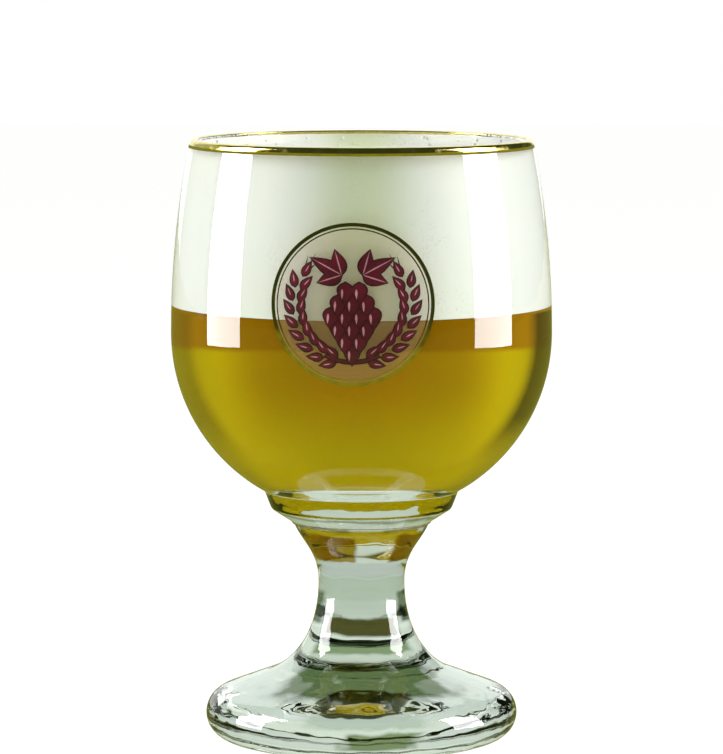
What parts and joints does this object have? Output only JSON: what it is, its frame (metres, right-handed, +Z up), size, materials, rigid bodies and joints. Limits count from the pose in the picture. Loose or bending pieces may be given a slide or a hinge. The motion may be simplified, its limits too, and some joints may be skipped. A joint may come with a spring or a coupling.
{
  "type": "beer glass",
  "caption": "Stemmed beer goblet with a gilt rim and a printed hop emblem, filled with beer under a tall head of foam.",
  "frame": {"origin": "on the goblet's axis, at the table under the foot", "axes": "+Z up along the axis of the stem and bowl; the emblem faces -Y"},
  "size_m": [0.093, 0.0932, 0.1471],
  "materials": {
    "glass": "polished",
    "foot_glass": "polished",
    "gilding": "polished",
    "ground_tint": "gloss",
    "red_enamel": "gloss",
    "dark_enamel": "gloss",
    "pale_enamel": "gloss",
    "beer": "gloss",
    "foam": "matte"
  },
  "bodies": {
    "root": {"foot": "foot_glass", "stem": "foot_glass", "collar": "foot_glass", "bowl": "glass", "gilt_rim": "gilding", "emblem_ground": "ground_tint", "emblem_gilding": "gilding", "emblem_linework": "dark_enamel", "emblem_enamel": "red_enamel", "emblem_highlights": "pale_enamel", "beer": "beer", "foam_head": "foam"}
  },
  "joints": []
}
